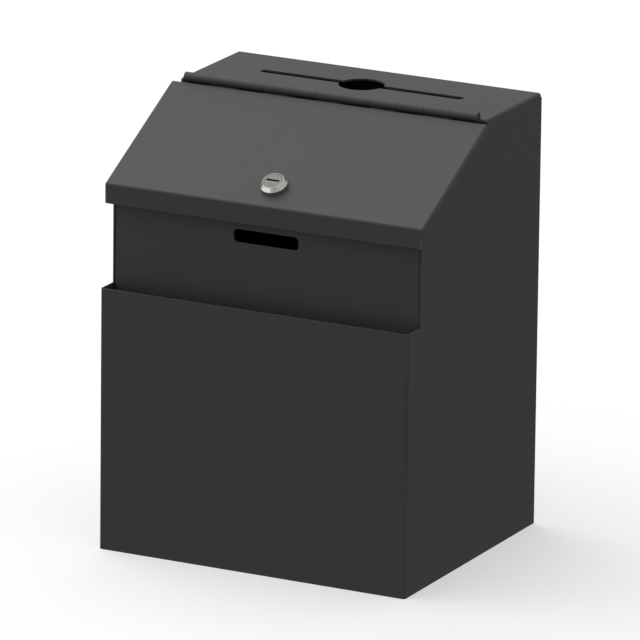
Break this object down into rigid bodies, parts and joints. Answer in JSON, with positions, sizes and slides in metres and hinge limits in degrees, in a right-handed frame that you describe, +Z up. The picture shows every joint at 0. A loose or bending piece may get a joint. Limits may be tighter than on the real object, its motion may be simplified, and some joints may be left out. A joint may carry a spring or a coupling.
{
  "type": "donation box",
  "caption": "Locking steel donation box with a slotted flat top, a hinged sloping lid with a cam lock, and an open leaflet pocket across the front.",
  "frame": {"origin": "on the floor, under the middle of the box (body width and depth)", "axes": "+X to the right seen from the front, +Y towards the back panel, +Z up; the pocket and lid face -Y"},
  "size_m": [0.2272, 0.187, 0.2938],
  "materials": {
    "powder_coat": "matt black powder coat, fine texture",
    "hinge_coat": "matt black powder coat over a rolled steel hinge",
    "rivet_aluminium": "as-set aluminium",
    "lock_nickel": "bright nickel plate on die-cast zinc",
    "lock_nickel_plug": "bright nickel plate, lightly worn by keys",
    "zinc_plate": "bright zinc plate",
    "wafer_brass": "stamped brass",
    "spring_steel": "bright spring wire"
  },
  "bodies": {
    "body": {"body_wrap": "powder_coat", "bottom_panel": "powder_coat", "back_panel": "powder_coat", "top_panel": "powder_coat", "front_panel": "powder_coat", "hinge_body_leaf": "hinge_coat", "hinge_pin": "hinge_coat", "hinge_rivets": "rivet_aluminium"},
    "lid": {"lid": "powder_coat", "hinge_lid_leaf": "hinge_coat", "lock_housing": "lock_nickel", "lock_nut": "zinc_plate", "lock_tooth_washer": "zinc_plate"},
    "key_plug": {"lock_plug": "lock_nickel_plug", "lock_wafers": "wafer_brass", "wafer_springs": "spring_steel", "lock_stop_washer": "zinc_plate", "lock_cam": "zinc_plate", "cam_spring_washer": "zinc_plate", "cam_screw": "zinc_plate"}
  },
  "joints": [
    {"name": "lid_hinge", "type": "hinge", "parent": "body", "child": "lid", "pos_m": [0, 0.01129, 0.29066], "axis": [-1, 0, 0], "range_deg": [0, 203]},
    {"name": "lock_turn", "type": "hinge", "parent": "lid", "child": "key_plug", "pos_m": [0, -0.06551, 0.24919], "axis": [0, 0.468, -0.8837], "range_deg": [0, 90]}
  ]
}
